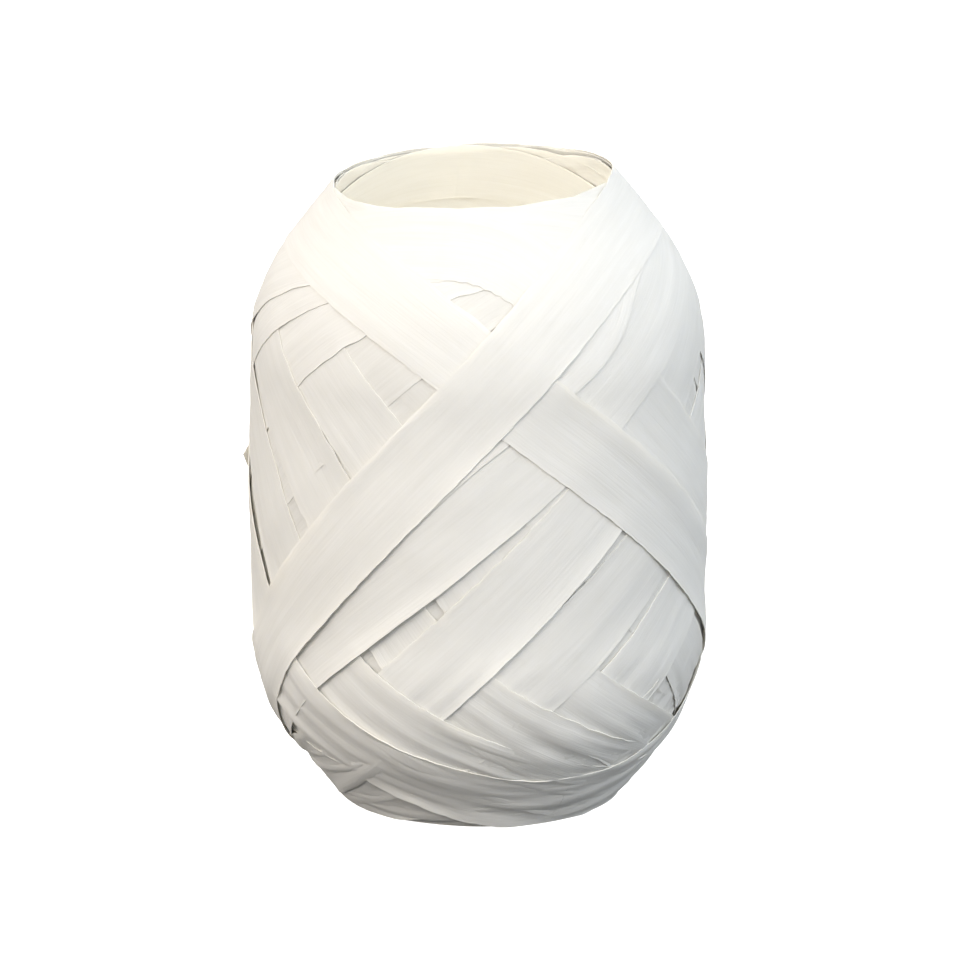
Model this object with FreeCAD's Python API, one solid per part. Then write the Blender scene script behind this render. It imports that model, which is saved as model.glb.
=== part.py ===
import FreeCAD, Part
import math
import os

# A coreless, hollow cocoon of flat tying ribbon, standing on one of its two mouths.
# Millimetres and degrees. +Z runs along the hole. Azimuth 0 looks along -Y and grows towards +X.
# The ribbon is one continuous strip, cut here into the stretches between its turns round a mouth.

# outer shape
HEIGHT = 82.5
BELLY_RADIUS = 29.7
RIM_RADIUS = 17.6
SHOULDER_RADIUS = 27.0
CONE_ANGLE = 38.0
BELLY_BULGE = 0.4

# ribbon
RIBBON_WIDTH = 10.0
RIBBON_THICKNESS = 0.09
PASS_PITCH = 0.12

# winding: each pass climbs from the bottom mouth ("up") or falls from the top mouth ("down"),
# newest first, as (start azimuth, end azimuth, direction)
PASSES = [
    (124.0, 386.0, "down"),
    (-149.4, 88.4, "up"),
    (-100.3, 208.5, "down"),
    (30.1, 258.0, "up"),
    (147.0, 390.1, "down"),
    (-160.5, 145.5, "up"),
    (-12.0, 199.5, "down"),
    (-296.6, -12.0, "up"),
    (176.0, 423.4, "down"),
    (-103.7, 153.5, "up"),
    (5.0, 256.3, "down"),
    (-267.6, 5.0, "up"),
    (205.0, 452.4, "down"),
    (-92.0, 205.0, "up"),
    (33.5, 268.0, "down"),
    (-240.0, 33.5, "up"),
    (232.0, 480.0, "down"),
    (-55.0, 232.0, "up"),
]
# where a pass strays from its even line: pass number, (degrees, place along the pass, spread)
STRAYS = {
    4: (-8.0, 0.68, 0.13),
    6: (-25.0, 0.34, 0.22),
    8: (-15.0, 0.65, 0.14),
    12: (-14.0, 0.65, 0.14),
    16: (-14.0, 0.65, 0.14),
}

# packed older turns under the passes
SHELL_OUT = 2.40
SHELL_IN = 3.60
LIP_OUT = 15.70
LIP_IN = 14.90

# loose ends
PEEL_FROM = 0.335
PEEL_TO = 0.508
PEEL_GAP = 0.30
PEEL_LIFT = 0.30
INNER_END_DEPTH = 3.80
INNER_END_SPAN = (0.20, 0.55)

ALONG = 32
ACROSS = 4

BETA = math.radians(CONE_ANGLE)
WALL_RADIUS = BELLY_RADIUS - BELLY_BULGE
CONE_RUN = (WALL_RADIUS - RIM_RADIUS - SHOULDER_RADIUS * (1 - math.cos(BETA))) / math.sin(BETA)
ARC_RUN = SHOULDER_RADIUS * BETA
BELLY_HALF = HEIGHT / 2 - CONE_RUN * math.cos(BETA) - SHOULDER_RADIUS * math.sin(BETA)
MERIDIAN = 2 * (CONE_RUN + ARC_RUN + BELLY_HALF)


def meridian(s):
    """Radius, height and outward normal at arc length s down from the top rim."""
    upper = s <= MERIDIAN / 2
    m = s if upper else MERIDIAN - s
    if m < CONE_RUN:
        r = RIM_RADIUS + m * math.sin(BETA)
        z = HEIGHT - m * math.cos(BETA)
        tilt = BETA
    elif m < CONE_RUN + ARC_RUN:
        tilt = BETA - (m - CONE_RUN) / SHOULDER_RADIUS
        r = WALL_RADIUS - SHOULDER_RADIUS * (1 - math.cos(tilt))
        z = HEIGHT / 2 + BELLY_HALF + SHOULDER_RADIUS * math.sin(tilt)
    else:
        t = (MERIDIAN / 2 - m) / BELLY_HALF
        r = WALL_RADIUS + BELLY_BULGE * (1 + math.cos(math.pi * t)) / 2
        z = HEIGHT / 2 + (MERIDIAN / 2 - m)
        tilt = BELLY_BULGE * math.pi / 2 * math.sin(math.pi * t) / BELLY_HALF
    if not upper:
        z = HEIGHT - z
        tilt = -tilt
    return r, z, math.cos(tilt), math.sin(tilt)


def on_surface(s, azimuth, depth):
    """The point at arc length s and azimuth (radians), depth below the outer shape."""
    r, z, nr, nz = meridian(s)
    r -= depth * nr
    z -= depth * nz
    return FreeCAD.Vector(r * math.sin(azimuth), -r * math.cos(azimuth), z)


def fall(w):
    """Arc length down from the top rim of a pass's middle line, at w of its way."""
    return RIBBON_WIDTH / 2 + (MERIDIAN - RIBBON_WIDTH) * (1 - math.cos(math.pi * w)) / 2


def turning_table(steps=400):
    """Share of a pass's azimuth used at each step, for a line that never slips sideways."""
    c = meridian(RIBBON_WIDTH / 2)[0] - 1e-3
    rates = []
    for n in range(steps):
        w = (n + 0.5) / steps
        r = meridian(fall(w))[0]
        rates.append(c / (r * math.sqrt(r * r - c * c)) * math.sin(math.pi * w))
    for n in range(8):
        rates[n] = rates[8]
        rates[-1 - n] = rates[-9]
    total = sum(rates)
    table = [0.0]
    for rate in rates:
        table.append(table[-1] + rate / total)
    return table


TURNING = turning_table()


def turning(w):
    x = min(max(w, 0.0), 1.0) * (len(TURNING) - 1)
    n = min(int(x), len(TURNING) - 2)
    return TURNING[n] + (TURNING[n + 1] - TURNING[n]) * (x - n)


def strayed(x, size, place, spread):
    """Degrees off the even line at x of a stretch; none at its two ends."""
    def bell(at):
        return math.exp(-(((at - place) / spread) ** 2))
    return size * (bell(x) - (1 - x) * bell(0.0) - x * bell(1.0))


def middle_line(course, dwell, x):
    """(arc length, azimuth) at x of a stretch, which is a pass and then a dwell round the mouth."""
    start, end, way = course
    share = (end - start) / (end - start + dwell)
    w = min(x / share, 1.0)
    extra = max(x - share, 0.0) / max(1 - share, 1e-9) * dwell
    azimuth = start + (end - start) * turning(w) + extra
    s = fall(w) if way == "down" else MERIDIAN - fall(w)
    stray = STRAYS.get(PASSES.index(course)) if course in PASSES else None
    if stray:
        azimuth += strayed(x, *stray)
    return s, math.radians(azimuth)


def across_point(course, dwell, x, side):
    """(arc length, azimuth) at x along a stretch and side mm off its middle line."""
    step = 1e-3
    s, a = middle_line(course, dwell, x)
    s1, a1 = middle_line(course, dwell, max(x - step, 0.0))
    s2, a2 = middle_line(course, dwell, min(x + step, 1.0))
    r = meridian(s)[0]
    run = math.hypot(s2 - s1, r * (a2 - a1))
    ds = r * (a2 - a1) / run
    da = -(s2 - s1) / run
    s_side = min(max(s + ds * side, 0.0), MERIDIAN)
    r_half = meridian(min(max(s + ds * side / 2, 0.0), MERIDIAN))[0]
    return s_side, a + da * side / r_half


def skin(course, dwell, span, depth_at):
    """One face of a stretch, as a smooth surface through a grid of its points."""
    grid = []
    for i in range(ALONG + 1):
        x = span[0] + (span[1] - span[0]) * i / ALONG
        row = []
        for j in range(ACROSS + 1):
            side = RIBBON_WIDTH * (j / ACROSS - 0.5)
            s, a = across_point(course, dwell, x, side)
            row.append(on_surface(s, a, depth_at(x)))
        grid.append(row)
    surface = Part.BSplineSurface()
    surface.interpolate(grid)
    return surface


def rail(one, other):
    """The narrow face between two edges that run the same way."""
    return Part.makeRuledSurface(one.toShape(), other.toShape(), 1)


def ribbon(course, dwell, span, depth_at):
    """A stretch of ribbon as a closed solid."""
    outer = skin(course, dwell, span, depth_at)
    inner = skin(course, dwell, span, lambda x: depth_at(x) + RIBBON_THICKNESS)
    faces = [outer.toShape(), inner.toShape()]
    u0, u1, v0, v1 = outer.bounds()
    for u in (u0, u1):
        faces.append(rail(outer.uIso(u), inner.uIso(u)))
    for v in (v0, v1):
        faces.append(rail(outer.vIso(v), inner.vIso(v)))
    shell = Part.makeShell(faces)
    shell.sewShape()
    solid = Part.makeSolid(Part.Shell(shell.Faces))
    if solid.Volume < 0:
        solid.reverse()
    return solid


def dwell_after(n):
    """Degrees that the ribbon runs round the mouth between pass n and the newer one."""
    if n == 0:
        return 0.0
    gap = (PASSES[n - 1][0] - PASSES[n][1]) % 360.0
    return gap if gap < 90.0 else 0.0


def pass_depth(n):
    return lambda x: PASS_PITCH * (n + 1 - x)


def profile_point(s, depth):
    r, z, nr, nz = meridian(s)
    return FreeCAD.Vector(r - depth * nr, 0, z - depth * nz)


def upper_shoulder_line(depth, lip):
    """Corner points of the wall's upper shoulder at one depth, from the mouth down to the belly."""
    run = (lip - RIM_RADIUS + depth / math.cos(BETA)) / math.tan(BETA)
    mouth = FreeCAD.Vector(lip, 0, HEIGHT)
    neck = FreeCAD.Vector(lip, 0, HEIGHT - run)
    cone_end = profile_point(CONE_RUN, depth)
    arc_mid = profile_point(CONE_RUN + ARC_RUN / 2, depth)
    arc_end = profile_point(CONE_RUN + ARC_RUN - 1e-9, depth)
    return mouth, neck, cone_end, arc_mid, arc_end


def turned(edges):
    """The solid of revolution about the hole's axis of a closed outline."""
    wire = Part.Wire(Part.__sortEdges__([e.toShape() for e in edges]))
    return Part.Face(wire).revolve(FreeCAD.Vector(0, 0, 0), FreeCAD.Vector(0, 0, 1), 360)


def upper_shoulder():
    """Packed older turns from the top mouth, with its flat ring, to the belly."""
    edges = []
    for depth, lip in ((SHELL_OUT, LIP_OUT), (SHELL_IN, LIP_IN)):
        mouth, neck, cone_end, arc_mid, arc_end = upper_shoulder_line(depth, lip)
        edges += [Part.LineSegment(mouth, neck), Part.LineSegment(neck, cone_end)]
        edges.append(Part.Arc(cone_end, arc_mid, arc_end))
    out = upper_shoulder_line(SHELL_OUT, LIP_OUT)
    inn = upper_shoulder_line(SHELL_IN, LIP_IN)
    edges += [Part.LineSegment(out[0], inn[0]), Part.LineSegment(out[4], inn[4])]
    return turned(edges)


def belly():
    """Packed older turns round the widest part."""
    edges = []
    ends = []
    for depth, lip in ((SHELL_OUT, LIP_OUT), (SHELL_IN, LIP_IN)):
        top = upper_shoulder_line(depth, lip)[4]
        low = FreeCAD.Vector(top.x, 0, HEIGHT - top.z)
        edges.append(Part.Arc(top, profile_point(MERIDIAN / 2, depth), low))
        ends.append((top, low))
    edges.append(Part.LineSegment(ends[0][0], ends[1][0]))
    edges.append(Part.LineSegment(ends[0][1], ends[1][1]))
    return turned(edges)


def peel_parts():
    """The newest pass: the stretch that holds, and the loose end that peels."""
    course = PASSES[0]
    length = peel_length(course)
    held = (0.0, PEEL_FROM)
    loose = (PEEL_FROM + PEEL_GAP / length, PEEL_TO)
    hold = ribbon(course, 0.0, held, pass_depth(0))
    end = ribbon(course, 0.0, loose, lambda x: PASS_PITCH * (1 - x) - PEEL_LIFT)
    return hold, end


def peel_length(course):
    """Length of a whole pass along its middle line."""
    total = 0.0
    last = None
    for i in range(201):
        s, a = middle_line(course, 0.0, i / 200)
        p = on_surface(s, a, 0.0)
        if last is not None:
            total += p.distanceToPoint(last)
        last = p
    return total


def peel_hinge():
    """A point and direction of the line that the loose end peels about."""
    course = PASSES[0]
    x = PEEL_FROM + PEEL_GAP * 0.6 / peel_length(course)
    depth = PASS_PITCH * (1 - x) - PEEL_LIFT
    ends = []
    for side in (-0.5, 0.0, 0.5):
        s, a = across_point(course, 0.0, x, side)
        ends.append(on_surface(s, a, depth))
    return ends[1], (ends[2] - ends[0]).normalize()


nodes = {}
nodes["packed_turns_top"] = upper_shoulder()
nodes["packed_turns_belly"] = belly()
mid = FreeCAD.Vector(0, 0, HEIGHT / 2)
nodes["packed_turns_bottom"] = nodes["packed_turns_top"].mirror(mid, FreeCAD.Vector(0, 0, 1))
nodes["wrap_01"], nodes["outer_end"] = peel_parts()
for n in range(1, len(PASSES)):
    nodes["wrap_%02d" % (n + 1)] = ribbon(PASSES[n], dwell_after(n), (0.0, 1.0), pass_depth(n))
nodes["inner_end"] = ribbon(PASSES[5], 0.0, INNER_END_SPAN, lambda x: INNER_END_DEPTH)

os.makedirs("parts", exist_ok=True)
for name in sorted(nodes):
    shape = nodes[name]
    shape.exportStep("parts/%s.step" % name)
    box = shape.BoundBox
    print(name, shape.ShapeType, shape.isValid(), round(shape.Volume, 2), len(shape.Faces),
          round(box.ZMin, 2), round(box.ZMax, 2), round(box.XMin, 2), round(box.XMax, 2))
point, axis = peel_hinge()
print("peel hinge", [round(v, 4) for v in point], [round(v, 5) for v in axis])
print("pass length", round(peel_length(PASSES[1]), 1))
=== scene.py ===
"""A coreless cocoon of flat white tying ribbon, cross-wound in a barrel, standing on its lower mouth.

The ribbon is laid pass by pass, oldest first. Each pass is draped over a map of the heights that the
passes before it have left, so that it bridges their edges as a taut ribbon does.
"""
import math

import bpy
import numpy as np
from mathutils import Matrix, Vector


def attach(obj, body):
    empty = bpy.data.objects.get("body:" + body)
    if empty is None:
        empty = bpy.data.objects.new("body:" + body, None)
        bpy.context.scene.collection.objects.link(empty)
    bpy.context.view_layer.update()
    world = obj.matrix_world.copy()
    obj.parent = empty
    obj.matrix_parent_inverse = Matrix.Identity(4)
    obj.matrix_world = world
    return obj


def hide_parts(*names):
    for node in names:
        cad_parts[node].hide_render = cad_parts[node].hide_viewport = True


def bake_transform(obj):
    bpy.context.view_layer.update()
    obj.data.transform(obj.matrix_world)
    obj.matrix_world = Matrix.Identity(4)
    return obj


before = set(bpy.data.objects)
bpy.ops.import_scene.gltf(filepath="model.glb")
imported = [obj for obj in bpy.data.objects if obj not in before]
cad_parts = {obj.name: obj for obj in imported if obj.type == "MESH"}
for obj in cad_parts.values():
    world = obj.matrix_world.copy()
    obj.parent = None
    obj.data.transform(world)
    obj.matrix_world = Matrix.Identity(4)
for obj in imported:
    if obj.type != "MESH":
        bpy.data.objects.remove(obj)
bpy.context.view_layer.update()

MM = 0.001

# ---------------------------------------------------------------- outer shape, mm
HEIGHT = 82.5
BELLY_RADIUS = 29.7
RIM_RADIUS = 17.6
SHOULDER_RADIUS = 27.0
CONE_ANGLE = math.radians(38.0)
BELLY_BULGE = 0.4
RIBBON_WIDTH = 10.0
RIBBON_THICKNESS = 0.10

WALL_RADIUS = BELLY_RADIUS - BELLY_BULGE
CONE_RUN = (WALL_RADIUS - RIM_RADIUS - SHOULDER_RADIUS * (1 - math.cos(CONE_ANGLE))) / math.sin(CONE_ANGLE)
ARC_RUN = SHOULDER_RADIUS * CONE_ANGLE
BELLY_HALF = HEIGHT / 2 - CONE_RUN * math.cos(CONE_ANGLE) - SHOULDER_RADIUS * math.sin(CONE_ANGLE)
MERIDIAN = 2 * (CONE_RUN + ARC_RUN + BELLY_HALF)

# ---------------------------------------------------------------- the winding
# Each pass runs from one mouth to the other, newest first: start azimuth, end azimuth, direction.
# Azimuth 0 is the front and grows to the right.
NEWEST_PASSES = [
    (124.0, 386.0, "down"),
    (-149.4, 88.4, "up"),
    (-100.3, 208.5, "down"),
    (30.1, 258.0, "up"),
    (147.0, 390.1, "down"),
    (-160.5, 145.5, "up"),
    (-12.0, 199.5, "down"),
    (-296.6, -12.0, "up"),
    (176.0, 423.4, "down"),
    (-103.7, 153.5, "up"),
    (5.0, 256.3, "down"),
    (-267.6, 5.0, "up"),
    (205.0, 452.4, "down"),
    (-92.0, 205.0, "up"),
    (33.5, 268.0, "down"),
    (-240.0, 33.5, "up"),
    (232.0, 480.0, "down"),
    (-55.0, 232.0, "up"),
]
# where a pass strays from its even line: pass number, (degrees, place along the pass, spread)
STRAYS = {
    4: (-8.0, 0.68, 0.13),
    6: (-25.0, 0.34, 0.22),
    8: (-15.0, 0.65, 0.14),
    12: (-14.0, 0.65, 0.14),
    16: (-14.0, 0.65, 0.14),
}
# edges that stand off: pass number, (side, mm, place along the pass, spread)
LOOSE_EDGES = {
    1: [(1, 0.18, 0.45, 0.12)],
    2: [(-1, 0.32, 0.42, 0.10)],
    5: [(1, 0.40, 0.36, 0.16)],
    9: [(1, 0.22, 0.35, 0.15)],
}
# a fold of the ribbon that lies doubled under the second newest pass
FOLD_OVER = 1
FOLD_SPAN = (0.42, 0.86)
FOLD_STRAY = (11.0, 0.63, 0.08)
# every fourth pass runs beside the last one of its family, this many degrees further round
FAMILY = 4
FAMILY_STEP = 29.0
OLDER_PASSES = 40

# ---------------------------------------------------------------- the mouths, mm and degrees
# how far in from the edge the middle of a turn lies, over half its width
LOWER_RIM_IN = -0.2
UPPER_RIM_IN = 0.60
UPPER_RIM_TILT = 1.25
UPPER_RIM_LOW_SIDE = -50.0
NEWEST_UNEVEN = (0.0, 0.3)
OLDER_UNEVEN = (0.1, 0.6)
# the pile is pressed to this share of its height at a mouth, and has its full height further in
PRESSED_SHARE = 0.5
PRESS_FROM = 7.0
PRESS_RUN = 15.0

# ---------------------------------------------------------------- the turns in the hollow
INNER_PASSES = 26
INNER_SWEEPS = (245.0, 262.0, 268.0, 258.0)
INNER_SLACK_TURN = 188.0
INNER_SLACK_PASSES = 3
INNER_SLACK = 0.15
INNER_TURN_RISE = 0.7
INNER_EDGE_LIFT = 0.15
WALL_CLEARANCE = 0.05

# ---------------------------------------------------------------- the loose end
# shares of the last pass where it starts to peel and where its tip is
PEEL_AT = 0.335
TAIL_TIP = 0.508
TIP_CURL = 1.05
TIP_CURL_RUN = 5.0

# ---------------------------------------------------------------- the lie of the ribbon, mm
HEIGHT_CELLS_ROUND = 900
HEIGHT_CELLS_DOWN = 430
PAST_RIM = 1.6
LAY_GAP = 0.03
PRESSED_THICKNESS = 0.06
SLOPE_ALONG = 0.035
SLOPE_ACROSS = 0.11
EDGE_LIFT = 0.19
EDGE_WAVE = 0.045
EDGE_WAVE_LENGTHS = (2.2, 3.7, 6.1, 13.0)
LIFT_WAVE_LENGTHS = (17.0, 29.0, 47.0)
JOIN_RUN = 7.0
LEVEL_ENDS = 3.0
LEVEL_SMOOTHING = 41
# depth of the pleats over their set depth: on the belly, and what each mouth's gathering adds
PLEATS_ON_BELLY = 0.6
PLEATS_AT_TOP = 0.8
PLEATS_AT_BOTTOM = 6.0
GATHER_FROM = 0.30
GATHER_RUN = 0.45

rng = np.random.default_rng(11)


def meridian(s):
    """Radius, height and outward normal at arc length s down from the top rim."""
    s = np.asarray(s, float)
    upper = s <= MERIDIAN / 2
    m = np.where(upper, s, MERIDIAN - s)
    tilt_arc = np.clip(CONE_ANGLE - (m - CONE_RUN) / SHOULDER_RADIUS, 0, CONE_ANGLE)
    t = np.clip((MERIDIAN / 2 - m) / BELLY_HALF, -1, 1)
    cone = m < CONE_RUN
    arc = m < CONE_RUN + ARC_RUN
    r = np.where(
        cone,
        RIM_RADIUS + m * math.sin(CONE_ANGLE),
        np.where(
            arc,
            WALL_RADIUS - SHOULDER_RADIUS * (1 - np.cos(tilt_arc)),
            WALL_RADIUS + BELLY_BULGE * (1 + np.cos(math.pi * t)) / 2,
        ),
    )
    z = np.where(
        cone,
        HEIGHT - m * math.cos(CONE_ANGLE),
        np.where(
            arc,
            HEIGHT / 2 + BELLY_HALF + SHOULDER_RADIUS * np.sin(tilt_arc),
            HEIGHT - (m + HEIGHT / 2 - MERIDIAN / 2),
        ),
    )
    bulge_tilt = BELLY_BULGE * math.pi / 2 * np.sin(math.pi * t) / BELLY_HALF
    tilt = np.where(cone, CONE_ANGLE, np.where(arc, tilt_arc, bulge_tilt))
    z = np.where(upper, z, HEIGHT - z)
    tilt = np.where(upper, tilt, -tilt)
    return r, z, np.cos(tilt), np.sin(tilt)


def eased(x):
    """0 to 1 with a soft start and end, for x of 0 to 1."""
    return x * x * (3 - 2 * x)


def on_surface(s, azimuth, height):
    """Points at arc length s and azimuth (radians), height mm proud of the outer shape."""
    r, z, nr, nz = meridian(s)
    r = r + height * nr
    z = z + height * nz
    return np.stack([r * np.sin(azimuth), -r * np.cos(azimuth), z], -1)


def fall(w, leave, arrive):
    """Arc length of the middle line, from the margin that it leaves to the one that it arrives at."""
    return leave + (MERIDIAN - leave - arrive) * (1 - np.cos(math.pi * w)) / 2


def turning_table(steps=400):
    """Share of a pass's azimuth used at each step, for a line that never slips sideways."""
    c = float(meridian(RIBBON_WIDTH / 2)[0]) - 1e-3
    w = (np.arange(steps) + 0.5) / steps
    r = meridian(fall(w, RIBBON_WIDTH / 2, RIBBON_WIDTH / 2))[0]
    rates = c / (r * np.sqrt(r * r - c * c)) * np.sin(math.pi * w)
    rates[:8] = rates[8]
    rates[-8:] = rates[-9]
    return np.concatenate([[0.0], np.cumsum(rates) / rates.sum()])


TURNING = turning_table()


def strayed(x, size, centre, spread):
    """Degrees off the even line at x of a stretch; none at its two ends."""
    def bell(at):
        return np.exp(-(((at - centre) / spread) ** 2))
    return size * (bell(x) - (1 - x) * bell(0.0) - x * bell(1.0))


def middle_line(course, dwell, x, margins, bow):
    """(arc length, azimuth) at x of a stretch, which is a pass and then a dwell round the mouth."""
    start, end, way = course
    share = (end - start) / (end - start + dwell)
    w = np.minimum(x / share, 1.0)
    extra = np.maximum(x - share, 0.0) / max(1 - share, 1e-9) * dwell
    azimuth = start + (end - start) * np.interp(w, np.linspace(0, 1, len(TURNING)), TURNING) + extra
    s = fall(w, *margins)
    if way == "up":
        s = MERIDIAN - s
    if bow:
        azimuth = azimuth + strayed(x, *bow)
    return s, np.radians(azimuth)


def slow_wave(run, lengths):
    """An uneven wave of about unit size along a ribbon, made of a few wavelengths in mm."""
    total = np.zeros_like(run)
    for length in lengths:
        size = rng.normal()
        wavelength = length * rng.uniform(0.8, 1.25)
        total += size * np.sin(2 * math.pi * run / wavelength + rng.uniform(0, 6.28))
    return total / math.sqrt(len(lengths) / 2)


class Lay:
    """One stretch of ribbon as a grid of points: arc length, azimuth and height of its underside."""

    def __init__(self, course, dwell=0.0, span=(0.0, 1.0), along=200, across=16, margins=None,
                 bow=None, wander=0.25, width=RIBBON_WIDTH):
        margins = margins or (RIBBON_WIDTH / 2, RIBBON_WIDTH / 2)
        x = np.linspace(span[0], span[1], along + 1)
        s, a = middle_line(course, dwell, x, margins, bow)
        wave = np.zeros_like(x)
        for n in (1, 2, 3):
            wave += rng.normal() * np.sin(n * math.pi * x + rng.uniform(0, 6.28)) / n
        s = s + wander * 0.3 * wave * np.sin(math.pi * np.clip(x, 0, 1))
        r = meridian(s)[0]
        ds = np.gradient(s, x)
        da = np.gradient(a, x)
        if span[0] == 0.0:
            ds[0] = 0.0
        if span[1] == 1.0:
            ds[-1] = 0.0
        rate = np.hypot(ds, r * da)
        side = np.linspace(-0.5, 0.5, across + 1) * width
        self.side = np.broadcast_to(side, (along + 1, across + 1))
        p = on_surface(s, a, 0.0)
        steps = np.linalg.norm(np.diff(p, axis=0), axis=1)
        self.run = np.concatenate([[0.0], np.cumsum(steps)])
        self.step = float(steps.mean())
        self.gap_across = width / across
        t = 2 * side / width
        ends = np.clip(np.minimum(self.run, self.run[-1] - self.run) / 4.0, 0, 1)
        wave = [slow_wave(self.run, EDGE_WAVE_LENGTHS) * ends * EDGE_WAVE for _ in (0, 1)]
        ragged = side + np.where(t > 0, wave[0][:, None], wave[1][:, None]) * np.abs(t) ** 3
        down = (r * da / rate)[:, None] * ragged
        turn = -(ds / rate)[:, None] * ragged
        lift = [0.5 + 0.5 * np.clip(slow_wave(self.run, LIFT_WAVE_LENGTHS), -1, 1) for _ in (0, 1)]
        curl = 0.45 * t * t + 0.55 * t ** 8
        self.edge = curl * np.where(t > 0, lift[0][:, None], lift[1][:, None])
        # the edges lie flatter on the upper half, where the hand has smoothed them
        self.edge = self.edge * np.interp(s / MERIDIAN, (0.3, 0.75), (0.4, 1.5))[:, None]
        self.t = t
        self.run_before = 0.0
        self.s = np.clip(s[:, None] + down, -PAST_RIM, MERIDIAN + PAST_RIM)
        self.a = a[:, None] + turn / meridian(s[:, None] + down / 2)[0]
        self.height = None


class HeightMap:
    """How far the winding so far stands proud, over azimuth and arc length."""

    def __init__(self, base):
        self.h = np.full((HEIGHT_CELLS_ROUND, HEIGHT_CELLS_DOWN), base)

    def cells(self, s, a):
        u = (a / (2 * math.pi) % 1.0) * HEIGHT_CELLS_ROUND
        v = (s + PAST_RIM) / (MERIDIAN + 2 * PAST_RIM) * (HEIGHT_CELLS_DOWN - 1)
        return u, np.clip(v, 0, HEIGHT_CELLS_DOWN - 1.001)

    def read(self, s, a):
        u, v = self.cells(s, a)
        i = np.floor(u).astype(int)
        j = np.floor(v).astype(int)
        fu, fv = u - i, v - j
        i0, i1 = i % HEIGHT_CELLS_ROUND, (i + 1) % HEIGHT_CELLS_ROUND
        top = self.h[i0, j] * (1 - fu) + self.h[i1, j] * fu
        low = self.h[i0, j + 1] * (1 - fu) + self.h[i1, j + 1] * fu
        return top * (1 - fv) + low * fv

    def write(self, lay, thickness):
        fine_i = np.linspace(0, lay.s.shape[0] - 1, (lay.s.shape[0] - 1) * 5 + 1)
        fine_j = np.linspace(0, lay.s.shape[1] - 1, max((lay.s.shape[1] - 1) * 4, 64) + 1)

        def finer(grid):
            rows = np.arange(grid.shape[0])
            cols = np.arange(grid.shape[1])
            wide = np.stack([np.interp(fine_i, rows, grid[:, j]) for j in cols], 1)
            return np.stack([np.interp(fine_j, cols, row) for row in wide], 0)

        u, v = self.cells(finer(lay.s), finer(lay.a))
        i = np.round(u).astype(int) % HEIGHT_CELLS_ROUND
        j = np.round(v).astype(int)
        new = np.full_like(self.h, -99.0)
        np.maximum.at(new, (i, j), finer(lay.height) + thickness)
        covered = new > -90
        self.h[covered] = np.maximum(new, self.h)[covered]


def slope_limited(h, fall_along, fall_across):
    """The lowest sheet over h whose slopes stay within the limits."""
    h = h.copy()
    for _ in range(2):
        for i in range(1, h.shape[0]):
            h[i] = np.maximum(h[i], h[i - 1] - fall_along)
        for i in range(h.shape[0] - 2, -1, -1):
            h[i] = np.maximum(h[i], h[i + 1] - fall_along)
        for j in range(1, h.shape[1]):
            h[:, j] = np.maximum(h[:, j], h[:, j - 1] - fall_across)
        for j in range(h.shape[1] - 2, -1, -1):
            h[:, j] = np.maximum(h[:, j], h[:, j + 1] - fall_across)
    return h


def drape(lay, heights, edge_lift, thickness=RIBBON_THICKNESS, join=None, loose=(), slack=0.0):
    """Lays a stretch on the height map, running on from the row it joins, and adds it to the map."""
    under = heights.read(lay.s, lay.a)
    h = slope_limited(under, SLOPE_ALONG * lay.step, SLOPE_ACROSS * lay.gap_across)
    soft = h.copy()
    for _ in range(3):
        soft[1:-1] = (soft[:-2] + 2 * soft[1:-1] + soft[2:]) / 4
    h = np.maximum(h, soft) + LAY_GAP * thickness / RIBBON_THICKNESS
    h = h + edge_lift * lay.edge + slack
    for way, size, where, spread in loose:
        at = np.exp(-(((lay.run / lay.run[-1] - where) / spread) ** 2))[:, None]
        h = h + size * at * np.clip(way * lay.t, 0, 1) ** 3
    if join is not None:
        fade = eased(np.clip(lay.run / JOIN_RUN, 0, 1))[:, None]
        h = join * (1 - fade) + h * fade
    lay.height = h
    heights.write(lay, thickness)


def dwell_after(n):
    if n == 0 or n >= len(PASSES):
        return 0.0
    gap = (PASSES[n - 1][0] - PASSES[n][1]) % 360.0
    return gap if gap < 90.0 else 0.0


# the older passes keep the families of the newest ones, with the unevenness of a quick winder,
# and each of them ends where the next newer one starts
PASSES = list(NEWEST_PASSES)
for n in range(len(NEWEST_PASSES), len(NEWEST_PASSES) + OLDER_PASSES):
    start, end, way = PASSES[n - FAMILY]
    end = end + FAMILY_STEP
    end += (PASSES[n - 1][0] - end + 180.0) % 360.0 - 180.0
    PASSES.append((start + FAMILY_STEP + rng.normal(0, 4), end, way))


def rim_margin(n, azimuth, way):
    """How far in from the mouth's edge a turn's middle lies. The upper rim is low at the front left."""
    uneven = rng.uniform(*(NEWEST_UNEVEN if n < len(NEWEST_PASSES) else OLDER_UNEVEN))
    if way == "up":
        return RIBBON_WIDTH / 2 + LOWER_RIM_IN + uneven
    tilt = UPPER_RIM_TILT * math.cos(math.radians(azimuth - UPPER_RIM_LOW_SIDE))
    return RIBBON_WIDTH / 2 + UPPER_RIM_IN + tilt + uneven


# START_MARGINS[n] is the margin at the start of pass n, which is also the end of pass n + 1
START_MARGINS = [rim_margin(n, course[0], course[2]) for n, course in enumerate(PASSES)]

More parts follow.
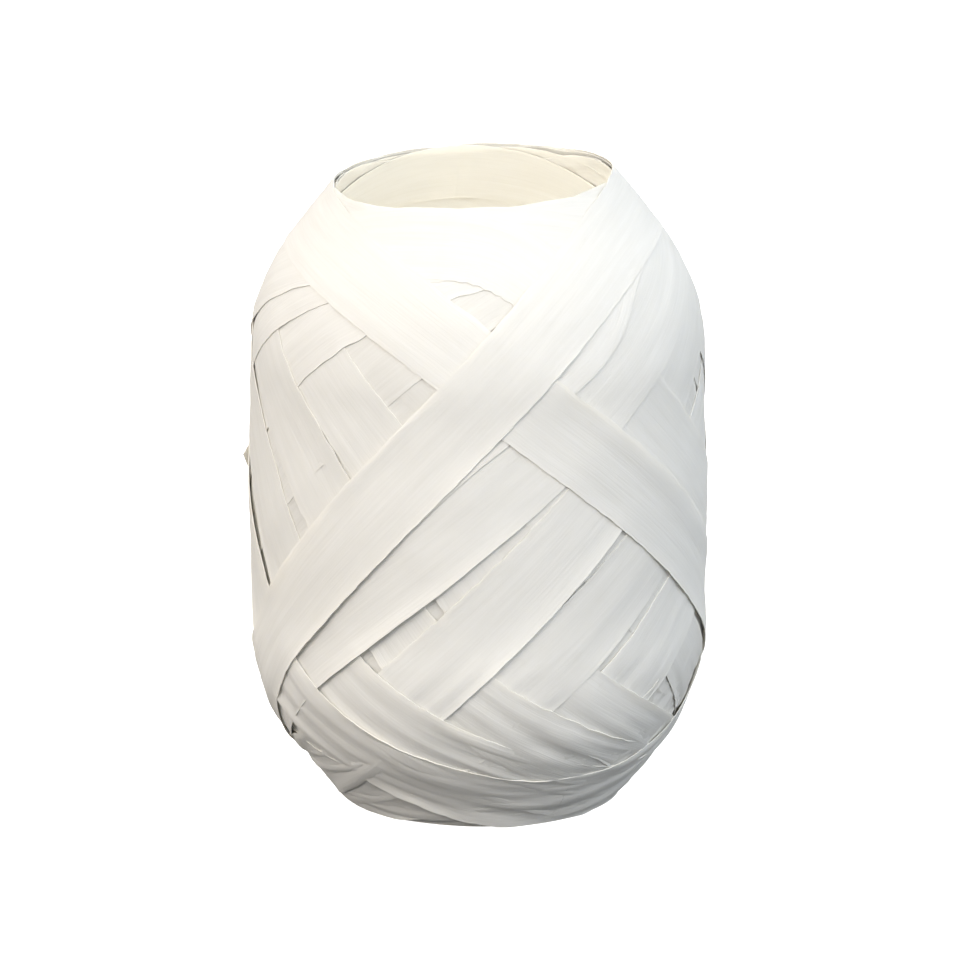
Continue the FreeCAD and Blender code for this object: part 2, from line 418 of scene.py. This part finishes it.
outside = HeightMap(0.0)
lays = {}
join_row = None
run_so_far = 0.0
fold = None
for n in range(len(PASSES) - 1, 0, -1):
    newest = n < len(NEWEST_PASSES)
    fine = dict(along=200, across=16) if newest else dict(along=120, across=16)
    lays[n] = Lay(PASSES[n], dwell_after(n), margins=(START_MARGINS[n], START_MARGINS[n - 1]),
                  wander=0.1 if newest else 0.5, bow=STRAYS.get(n), **fine)
    if n == FOLD_OVER + 1:
        fold_margins = (START_MARGINS[FOLD_OVER], START_MARGINS[FOLD_OVER - 1])
        fold = Lay(PASSES[FOLD_OVER], dwell_after(FOLD_OVER), span=FOLD_SPAN, margins=fold_margins,
                   along=110, bow=FOLD_STRAY, wander=0.0)
        drape(fold, outside, EDGE_LIFT)
    drape(lays[n], outside, EDGE_LIFT * rng.uniform(0.3, 1.2), join=join_row, loose=LOOSE_EDGES.get(n, ()),
          thickness=RIBBON_THICKNESS if newest else PRESSED_THICKNESS)
    join_row = lays[n].height[-1]
    lays[n].run_before = run_so_far
    run_so_far += lays[n].run[-1]

# the last pass, down to the loose end
lays[0] = Lay(PASSES[0], 0.0, span=(0.0, TAIL_TIP), along=120, across=16, wander=0.1,
              margins=(START_MARGINS[0], RIBBON_WIDTH / 2))
drape(lays[0], outside, EDGE_LIFT, join=join_row)
lays[0].run_before = run_so_far
# the upper corner of its tip has curled off the winding
near_tip = np.clip((lays[0].run - lays[0].run[-1] + TIP_CURL_RUN) / TIP_CURL_RUN, 0, 1)[:, None]
lays[0].height = lays[0].height + TIP_CURL * near_tip ** 2 * (0.5 - 0.5 * lays[0].t)

# level the pile, so that its outside follows the barrel all the way down
level = outside.h.mean(0)
kernel = np.hanning(LEVEL_SMOOTHING)
kernel /= kernel.sum()
level = np.convolve(np.pad(level, LEVEL_SMOOTHING // 2, mode="edge"), kernel, mode="valid")
level_s = np.linspace(-PAST_RIM, MERIDIAN + PAST_RIM, HEIGHT_CELLS_DOWN)


def press(s):
    """The pile is pressed thinner towards the mouths, where every turn runs round."""
    inland = np.clip((np.minimum(s, MERIDIAN - s) - PRESS_FROM) / PRESS_RUN, 0, 1)
    return PRESSED_SHARE + (1 - PRESSED_SHARE) * eased(inland)


def pile_level(s):
    """Mean height of the whole pile at arc length s."""
    return np.interp(np.clip(s, LEVEL_ENDS, MERIDIAN - LEVEL_ENDS), level_s, level)


def levelled(lay):
    """Heights of a stretch, with the pile's own height taken off so that the barrel's shape is kept."""
    return press(lay.s) * (lay.height - pile_level(lay.s))


# ---------------------------------------------------------------- materials


def new_material(name):
    material = bpy.data.materials.new(name)
    material.use_nodes = True
    nodes = material.node_tree.nodes
    nodes.clear()
    out = nodes.new("ShaderNodeOutputMaterial")
    shader = nodes.new("ShaderNodeBsdfPrincipled")
    material.node_tree.links.new(shader.outputs["BSDF"], out.inputs["Surface"])
    return material, nodes, material.node_tree.links, shader


def paper_ribbon(name, light, shade, streak_share=0.5):
    """Matte, slightly translucent ribbon: streaks and fibres run along it, on its own lay map. The streaks'
    colour is partly the ribbon's own tone and partly painted shade, darker where their bump is low.
    """
    material, nodes, links, shader = new_material(name)
    lay_map = nodes.new("ShaderNodeUVMap")
    lay_map.uv_map = "lay"

    def streaks(across, along, detail, offset):
        stretch = nodes.new("ShaderNodeMapping")
        stretch.inputs["Scale"].default_value = (across, along, 1.0)
        stretch.inputs["Location"].default_value = (offset, offset, 0.0)
        links.new(lay_map.outputs["UV"], stretch.inputs["Vector"])
        noise = nodes.new("ShaderNodeTexNoise")
        noise.inputs["Scale"].default_value = 1.0
        noise.inputs["Detail"].default_value = detail
        noise.inputs["Roughness"].default_value = 0.55
        links.new(stretch.outputs["Vector"], noise.inputs["Vector"])
        return noise.outputs["Fac"]

    broad = streaks(900.0, 35.0, 3.0, 3.1)
    fine = streaks(3800.0, 120.0, 4.0, 7.7)
    clouds = streaks(90.0, 60.0, 2.0, 1.3)
    both = nodes.new("ShaderNodeMix")
    both.data_type = "FLOAT"
    both.inputs["Factor"].default_value = streak_share
    links.new(broad, both.inputs["A"])
    links.new(fine, both.inputs["B"])
    # painted shade and light along the streaks: the colour runs from shade where the bump is low to light
    # where it is high, over the ribbon's own uneven tone
    ramp = nodes.new("ShaderNodeValToRGB")
    ramp.color_ramp.elements[0].position = 0.30
    ramp.color_ramp.elements[0].color = (*shade, 1)
    ramp.color_ramp.elements[1].position = 0.66
    ramp.color_ramp.elements[1].color = (*light, 1)
    links.new(both.outputs["Result"], ramp.inputs["Fac"])
    tint = nodes.new("ShaderNodeMix")
    tint.data_type = "RGBA"
    tint.blend_type = "MULTIPLY"
    tint.inputs["Factor"].default_value = 0.35
    cloud_ramp = nodes.new("ShaderNodeValToRGB")
    cloud_ramp.color_ramp.elements[0].color = (0.93, 0.92, 0.90, 1)
    cloud_ramp.color_ramp.elements[1].color = (1, 1, 1, 1)
    links.new(clouds, cloud_ramp.inputs["Fac"])
    links.new(ramp.outputs["Color"], tint.inputs["A"])
    links.new(cloud_ramp.outputs["Color"], tint.inputs["B"])
    links.new(tint.outputs["Result"], shader.inputs["Base Color"])
    bump = nodes.new("ShaderNodeBump")
    bump.inputs["Strength"].default_value = 0.55
    bump.inputs["Distance"].default_value = 0.00012
    links.new(both.outputs["Result"], bump.inputs["Height"])
    links.new(bump.outputs["Normal"], shader.inputs["Normal"])
    shader.inputs["Roughness"].default_value = 0.62
    shader.inputs["Specular IOR Level"].default_value = 0.35
    shader.inputs["Sheen Weight"].default_value = 0.12
    shader.inputs["Sheen Roughness"].default_value = 0.5
    shader.inputs["Subsurface Weight"].default_value = 0.32
    shader.inputs["Subsurface Radius"].default_value = (1.0, 0.85, 0.6)
    shader.inputs["Subsurface Scale"].default_value = 0.0015
    return material


ribbon_white = paper_ribbon("white_ribbon", (0.905, 0.89, 0.845), (0.835, 0.82, 0.77))
# painted light: a copy of the ribbon's colour for the turns and wall of the hollow, its warm tint set for
# the light inside it
hollow_ribbon_painted_light = paper_ribbon("shaded_ribbon", (0.905, 0.89, 0.84), (0.85, 0.83, 0.765))

# ---------------------------------------------------------------- ribbon bodies


def link(tree, a, b):
    tree.links.new(a, b)


def ribbon_tree():
    """Gives a draped sheet its soft pleats and its thickness."""
    tree = bpy.data.node_groups.new("ribbon_body", "GeometryNodeTree")
    tree.is_modifier = True
    face = tree.interface
    face.new_socket("Geometry", in_out="INPUT", socket_type="NodeSocketGeometry")
    for name, value in (
        ("Thickness", RIBBON_THICKNESS * MM),
        ("Pleat Depth", 0.09 * MM),
        ("Pleat Width", 1.3 * MM),
        ("Pleat Length", 20 * MM),
        ("Seed", 1.0),
    ):
        socket = face.new_socket(name, in_out="INPUT", socket_type="NodeSocketFloat")
        socket.default_value = value
    face.new_socket("Material", in_out="INPUT", socket_type="NodeSocketMaterial")
    face.new_socket("Geometry", in_out="OUTPUT", socket_type="NodeSocketGeometry")
    nodes = tree.nodes
    inputs = nodes.new("NodeGroupInput")
    outputs = nodes.new("NodeGroupOutput")

    def attribute(name):
        node = nodes.new("GeometryNodeInputNamedAttribute")
        node.data_type = "FLOAT"
        node.inputs["Name"].default_value = name
        return node.outputs["Attribute"]

    def math_node(operation, a, b):
        node = nodes.new("ShaderNodeMath")
        node.operation = operation
        for socket, value in zip(node.inputs, (a, b)):
            if isinstance(value, (int, float)):
                socket.default_value = value
            else:
                link(tree, value, socket)
        return node.outputs[0]

    across = math_node("DIVIDE", attribute("across"), inputs.outputs["Pleat Width"])
    along = math_node("DIVIDE", attribute("along"), inputs.outputs["Pleat Length"])
    place = nodes.new("ShaderNodeCombineXYZ")
    link(tree, across, place.inputs["X"])
    link(tree, along, place.inputs["Y"])
    link(tree, math_node("MULTIPLY", inputs.outputs["Seed"], 7.13), place.inputs["Z"])
    noise = nodes.new("ShaderNodeTexNoise")
    noise.inputs["Scale"].default_value = 1.0
    noise.inputs["Detail"].default_value = 1.0
    link(tree, place.outputs["Vector"], noise.inputs["Vector"])
    rise = math_node("MULTIPLY", noise.outputs["Fac"], inputs.outputs["Pleat Depth"])
    rise = math_node("MULTIPLY", rise, attribute("gather"))
    normal = nodes.new("GeometryNodeInputNormal")
    scale = nodes.new("ShaderNodeVectorMath")
    scale.operation = "SCALE"
    link(tree, normal.outputs["Normal"], scale.inputs[0])
    link(tree, rise, scale.inputs["Scale"])
    pleat = nodes.new("GeometryNodeSetPosition")
    link(tree, inputs.outputs["Geometry"], pleat.inputs["Geometry"])
    link(tree, scale.outputs["Vector"], pleat.inputs["Offset"])
    grow = nodes.new("GeometryNodeExtrudeMesh")
    grow.mode = "FACES"
    grow.inputs["Individual"].default_value = False
    link(tree, pleat.outputs["Geometry"], grow.inputs["Mesh"])
    link(tree, inputs.outputs["Thickness"], grow.inputs["Offset Scale"])
    under = nodes.new("GeometryNodeFlipFaces")
    link(tree, pleat.outputs["Geometry"], under.inputs["Mesh"])
    join = nodes.new("GeometryNodeJoinGeometry")
    link(tree, under.outputs["Mesh"], join.inputs["Geometry"])
    link(tree, grow.outputs["Mesh"], join.inputs["Geometry"])
    merge = nodes.new("GeometryNodeMergeByDistance")
    merge.inputs["Distance"].default_value = 1e-7
    link(tree, join.outputs["Geometry"], merge.inputs["Geometry"])
    smooth = nodes.new("GeometryNodeSetShadeSmooth")
    link(tree, merge.outputs["Geometry"], smooth.inputs["Geometry"])
    angle = nodes.new("GeometryNodeInputMeshEdgeAngle")
    sharp = nodes.new("FunctionNodeCompare")
    sharp.data_type = "FLOAT"
    sharp.operation = "GREATER_THAN"
    sharp.inputs["B"].default_value = 0.9
    link(tree, angle.outputs["Unsigned Angle"], sharp.inputs["A"])
    crisp = nodes.new("GeometryNodeSetShadeSmooth")
    crisp.domain = "EDGE"
    crisp.inputs["Shade Smooth"].default_value = False
    link(tree, smooth.outputs["Geometry"], crisp.inputs["Geometry"])
    link(tree, sharp.outputs["Result"], crisp.inputs["Selection"])
    real = nodes.new("GeometryNodeRealizeInstances")
    link(tree, crisp.outputs["Geometry"], real.inputs["Geometry"])
    paint = nodes.new("GeometryNodeSetMaterial")
    link(tree, real.outputs["Geometry"], paint.inputs["Geometry"])
    link(tree, inputs.outputs["Material"], paint.inputs["Material"])
    link(tree, paint.outputs["Geometry"], outputs.inputs["Geometry"])
    return tree


RIBBON_TREE = ribbon_tree()
SOCKETS = {item.name: item.identifier for item in RIBBON_TREE.interface.items_tree if item.in_out == "INPUT"}


def sheet_mesh(name, sheets, inward=False):
    """One mesh of several draped sheets. Each sheet is (points in mm, side in mm, run in mm)."""
    points, faces, lay_uv, across, along, gather = [], [], [], [], [], []
    first = 0
    for p, side, run in sheets:
        rows, cols = side.shape
        points.append(p.reshape(-1, 3) * MM)
        i, j = np.meshgrid(np.arange(rows - 1), np.arange(cols - 1), indexing="ij")
        a = first + i * cols + j
        quad = np.stack([a, a + 1, a + cols + 1, a + cols], -1).reshape(-1, 4)
        faces.append(quad[:, ::-1] if inward else quad)
        long = np.broadcast_to(run[:, None], side.shape)
        lay_uv.append(np.stack([side, long], -1).reshape(-1, 2) * MM)
        across.append(side.reshape(-1) * MM)
        along.append(long.reshape(-1) * MM)
        from_middle = (p[..., 2] - HEIGHT / 2).reshape(-1) / (HEIGHT / 2)
        near_mouth = np.clip((np.clip(np.abs(from_middle), 0, 1) - GATHER_FROM) / GATHER_RUN, 0, 1)
        gathered = np.where(from_middle < 0, PLEATS_AT_BOTTOM, PLEATS_AT_TOP)
        gather.append(PLEATS_ON_BELLY + gathered * eased(near_mouth))
        first += rows * cols
    points, faces, lay_uv = (np.concatenate(x) for x in (points, faces, lay_uv))
    mesh = bpy.data.meshes.new(name)
    mesh.from_pydata(points.tolist(), [], faces.tolist())
    uv = mesh.uv_layers.new(name="lay")
    corner = np.empty(len(mesh.loops), int)
    mesh.loops.foreach_get("vertex_index", corner)
    uv.data.foreach_set("uv", lay_uv[corner].astype(np.float32).ravel())
    for label, values in (("across", across), ("along", along), ("gather", gather)):
        layer = mesh.attributes.new(label, "FLOAT", "POINT")
        layer.data.foreach_set("value", np.concatenate(values).astype(np.float32))
    mesh.update()
    return mesh


SEED = 3.0


def ribbon_piece(name, sheets, material, pleat_depth=0.16, thickness=RIBBON_THICKNESS, inward=False):
    """A finished piece of ribbon: the draped sheets, pleated and thickened by the ribbon tree."""
    sheet = bpy.data.objects.new(name + "_sheet", sheet_mesh(name + "_sheet", sheets, inward))
    bpy.context.collection.objects.link(sheet)
    modifier = sheet.modifiers.new("ribbon", "NODES")
    modifier.node_group = RIBBON_TREE
    modifier[SOCKETS["Thickness"]] = thickness * MM
    modifier[SOCKETS["Pleat Depth"]] = pleat_depth * MM
    modifier[SOCKETS["Seed"]] = SEED
    modifier[SOCKETS["Material"]] = material
    bpy.context.view_layer.update()
    solid = sheet.evaluated_get(bpy.context.evaluated_depsgraph_get())
    mesh = bpy.data.meshes.new_from_object(solid)
    mesh.name = name
    for label in ("across", "along", "gather"):
        if label in mesh.attributes:
            mesh.attributes.remove(mesh.attributes[label])
    piece = bpy.data.objects.new(name, mesh)
    bpy.context.collection.objects.link(piece)
    bpy.data.objects.remove(sheet)
    return piece


def place(lay, height):
    return on_surface(lay.s, lay.a, height), lay.side, lay.run + lay.run_before


for n in range(1, len(NEWEST_PASSES)):
    piece = ribbon_piece("ribbon_wrap_%02d" % (n + 1), [place(lays[n], levelled(lays[n]))], ribbon_white)
    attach(piece, "winding")
    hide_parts("wrap_%02d" % (n + 1))

piece = ribbon_piece("ribbon_fold", [place(fold, levelled(fold))], ribbon_white)
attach(piece, "winding")

# the older passes show through the gaps between the newest ones
old = list(range(len(NEWEST_PASSES), len(PASSES)))
zones = ("packed_turns_top", "packed_turns_belly", "packed_turns_bottom")
for k, zone in enumerate(zones):
    sheets = [place(lays[n], levelled(lays[n])) for n in old[k::len(zones)]]
    piece = ribbon_piece("older_turns_%d" % (k + 1), sheets, ribbon_white, thickness=PRESSED_THICKNESS)
    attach(piece, "winding")
    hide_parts(zone)

# ---------------------------------------------------------------- the wall of the hollow


def wall_depth(s):
    """Depth of the hollow's wall below the outer shape, just under the oldest of the outer turns."""
    return press(s) * pile_level(s) + WALL_CLEARANCE


# the innermost turns hang a little loose, with their upper turn at the far side
FIRST_INNER = INNER_SLACK_TURN - sum(INNER_SWEEPS[n % len(INNER_SWEEPS)] for n in range(INNER_PASSES - 2))
inside = HeightMap(0.0)
inner = []
azimuth, way = FIRST_INNER, "down"
margin = rim_margin(0, azimuth, way)
join_row = None
for n in range(INNER_PASSES):
    end = azimuth + INNER_SWEEPS[n % len(INNER_SWEEPS)]
    other_way = "up" if way == "down" else "down"
    next_margin = rim_margin(0, end, other_way)
    if n == INNER_PASSES - INNER_SLACK_PASSES:
        next_margin -= INNER_TURN_RISE
    slack = INNER_SLACK if n >= INNER_PASSES - INNER_SLACK_PASSES else 0.0
    lay = Lay((azimuth, end, way), along=110, across=8, margins=(margin, next_margin), wander=0.5)
    drape(lay, inside, INNER_EDGE_LIFT, join=join_row, thickness=PRESSED_THICKNESS, slack=slack)
    join_row = lay.height[-1]
    lay.run_before = inner[-1].run_before + inner[-1].run[-1] if inner else 0.0
    inner.append(lay)
    azimuth, way, margin = end, other_way, next_margin


def inside_place(lay):
    return place(lay, -wall_depth(lay.s) - lay.height)


piece = ribbon_piece("inner_turns", [inside_place(lay) for lay in inner], hollow_ribbon_painted_light, inward=True,
                     thickness=PRESSED_THICKNESS)
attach(piece, "winding")


def barrel_wall(name, outer, inner_height, ends):
    """A closed thin wall that follows the barrel between two heights."""
    s = np.linspace(ends, MERIDIAN - ends, 70)
    a = np.radians(np.arange(0, 360, 3.0))
    ring = []
    for height_at, line in ((outer, s), (inner_height, s[::-1])):
        for value in line:
            ring.append(on_surface(np.full_like(a, value), a, float(height_at(value))))
    points = np.concatenate(ring) * MM
    rows, cols = len(ring), len(a)
    faces = []
    for i in range(rows):
        for j in range(cols):
            nxt = (i + 1) % rows
            beside = (j + 1) % cols
            faces.append((i * cols + j, nxt * cols + j, nxt * cols + beside, i * cols + beside))
    mesh = bpy.data.meshes.new(name)
    mesh.from_pydata(points.tolist(), [], faces)
    uv = mesh.uv_layers.new(name="lay")
    corner = np.empty(len(mesh.loops), int)
    mesh.loops.foreach_get("vertex_index", corner)
    flat = np.stack([np.tile(a * BELLY_RADIUS, rows), np.repeat(np.arange(rows) * 1.3, cols)], -1) * MM
    uv.data.foreach_set("uv", flat[corner].astype(np.float32).ravel())
    mesh.materials.append(hollow_ribbon_painted_light)
    mesh.update()
    piece = bpy.data.objects.new(name, mesh)
    bpy.context.collection.objects.link(piece)
    return piece


liner = barrel_wall("packed_wall", lambda s: 0.04 - wall_depth(s), lambda s: -0.01 - wall_depth(s), 2.4)
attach(liner, "winding")

# the end that the winding was started with, on the wall of the hollow
start_lay = Lay(NEWEST_PASSES[5], span=(0.20, 0.55), along=60, across=10)
drape(start_lay, inside, 0.1)
piece = ribbon_piece("starting_end", [inside_place(start_lay)], hollow_ribbon_painted_light, inward=True)
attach(piece, "winding")
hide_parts("inner_end")

# ---------------------------------------------------------------- the last pass and its loose end
lay = lays[0]
piece = ribbon_piece("loose_end_ribbon", [place(lay, levelled(lay))], ribbon_white)
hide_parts("wrap_01", "outer_end")
k = int(round(PEEL_AT / TAIL_TIP * (lay.s.shape[0] - 1)))
mid = lay.s.shape[1] // 2
line = on_surface(lay.s[:, mid], lay.a[:, mid], 0.0)
heading = line[k + 4] - line[k - 4]
heading /= np.linalg.norm(heading)
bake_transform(piece)

# ---------------------------------------------------------------- stage, light and camera
FLOOR_HALF = 6.0
DOME_STRENGTH = 1.66
# brightness of the dome by how far up it looks: 0 straight down, 0.5 level, 1 straight up
DOME_STOPS = ((0.47, 0.02), (1.0, 0.25), (0.55, 1.0), (0.76, 0.9))
DOME_LEFT = (1.07, 1.0, 0.91, 1)
DOME_RIGHT = (0.95, 1.0, 1.035, 1)
CENTRE = (0.0, 0.0, HEIGHT * MM / 2)
VIEW_ELEVATION = math.radians(14.0)
VIEW_DISTANCE = 0.80
VIEW_LENS = 230.5
VIEW_SHIFT = (0.0026, 0.00104)


def pale_floor():
    """A pale floor that glows a little and throws no light back on the ribbon's underside."""
    mesh = bpy.data.meshes.new("pale_floor")
    h = FLOOR_HALF
    mesh.from_pydata([(-h, -h, 0), (h, -h, 0), (h, h, 0), (-h, h, 0)], [], [(0, 1, 2, 3)])
    floor = bpy.data.objects.new("pale_floor", mesh)
    bpy.context.collection.objects.link(floor)
    material, _, _, shader = new_material("pale_floor")
    shader.inputs["Base Color"].default_value = (0.95, 0.95, 0.95, 1)
    shader.inputs["Roughness"].default_value = 0.9
    shader.inputs["Emission Color"].default_value = (1, 1, 1, 1)
    shader.inputs["Emission Strength"].default_value = 0.90
    mesh.materials.append(material)
    floor.visible_diffuse = False
    floor.visible_glossy = False
    return floor


def studio_dome():
    """A soft dome of light: bright above, dim below, a little warmer on the left than on the right."""
    world = bpy.data.worlds.new("studio")
    bpy.context.scene.world = world
    world.use_nodes = True
    nodes = world.node_tree.nodes
    links = world.node_tree.links
    toward = nodes.new("ShaderNodeTexCoord")
    parts = nodes.new("ShaderNodeSeparateXYZ")
    links.new(toward.outputs["Generated"], parts.inputs["Vector"])

    def ramp_along(axis):
        share = nodes.new("ShaderNodeMapRange")
        share.inputs["From Min"].default_value = -1.0
        share.inputs["From Max"].default_value = 1.0
        links.new(parts.outputs[axis], share.inputs["Value"])
        ramp = nodes.new("ShaderNodeValToRGB")
        links.new(share.outputs["Result"], ramp.inputs["Fac"])
        return ramp

    dome = ramp_along("Z")
    for n, (at, value) in enumerate(DOME_STOPS):
        stop = dome.color_ramp.elements[n] if n < 2 else dome.color_ramp.elements.new(at)
        stop.position = at
        stop.color = (value, value, value, 1)
    tone = ramp_along("X")
    tone.color_ramp.elements[0].color = DOME_LEFT
    tone.color_ramp.elements[1].color = DOME_RIGHT
    toned = nodes.new("ShaderNodeMix")
    toned.data_type = "RGBA"
    toned.blend_type = "MULTIPLY"
    toned.inputs["Factor"].default_value = 1.0
    links.new(dome.outputs["Color"], toned.inputs["A"])
    links.new(tone.outputs["Color"], toned.inputs["B"])
    sky = nodes["Background"]
    sky.inputs["Strength"].default_value = DOME_STRENGTH
    links.new(toned.outputs["Result"], sky.inputs["Color"])


def soft_light(name, spot, aim, size, power, colour):
    lamp = bpy.data.lights.new(name, "AREA")
    lamp.shape = "DISK"
    lamp.size = size
    lamp.energy = power
    lamp.color = colour
    holder = bpy.data.objects.new(name, lamp)
    bpy.context.collection.objects.link(holder)
    holder.location = spot
    direction = np.array(aim) - np.array(spot)
    holder.rotation_euler = Vector(direction).to_track_quat("-Z", "Y").to_euler()


def light_through_wall():
    """The light that soaks through the white wall into the hollow."""
    glow = bpy.data.lights.new("light_through_wall", "POINT")
    glow.energy = 0.012
    glow.shadow_soft_size = 0.006
    glow.color = (1.0, 0.95, 0.84)
    holder = bpy.data.objects.new("light_through_wall", glow)
    bpy.context.collection.objects.link(holder)
    holder.location = (0.0, 0.0, 0.050)
    holder.visible_camera = False


def front_camera():
    """A long lens in front, a little above the object."""
    data = bpy.data.cameras.new("camera")
    data.lens = VIEW_LENS
    data.sensor_width = 36.0
    data.shift_x, data.shift_y = VIEW_SHIFT
    camera = bpy.data.objects.new("camera", data)
    bpy.context.collection.objects.link(camera)
    camera.location = (
        0.0,
        -VIEW_DISTANCE * math.cos(VIEW_ELEVATION),
        CENTRE[2] + VIEW_DISTANCE * math.sin(VIEW_ELEVATION),
    )
    camera.rotation_euler = (math.pi / 2 - VIEW_ELEVATION, 0.0, 0.0)
    return camera


pale_floor()
studio_dome()
soft_light("key_light", (-0.30, -0.56, 0.44), CENTRE, 0.42, 2.5, (1.09, 1.0, 0.88))
soft_light("fill_light", (0.50, -0.42, 0.41), CENTRE, 0.45, 1.2, (0.945, 1.0, 1.02))
light_through_wall()
bpy.context.scene.camera = front_camera()
bpy.context.scene.view_settings.view_transform = "Standard"

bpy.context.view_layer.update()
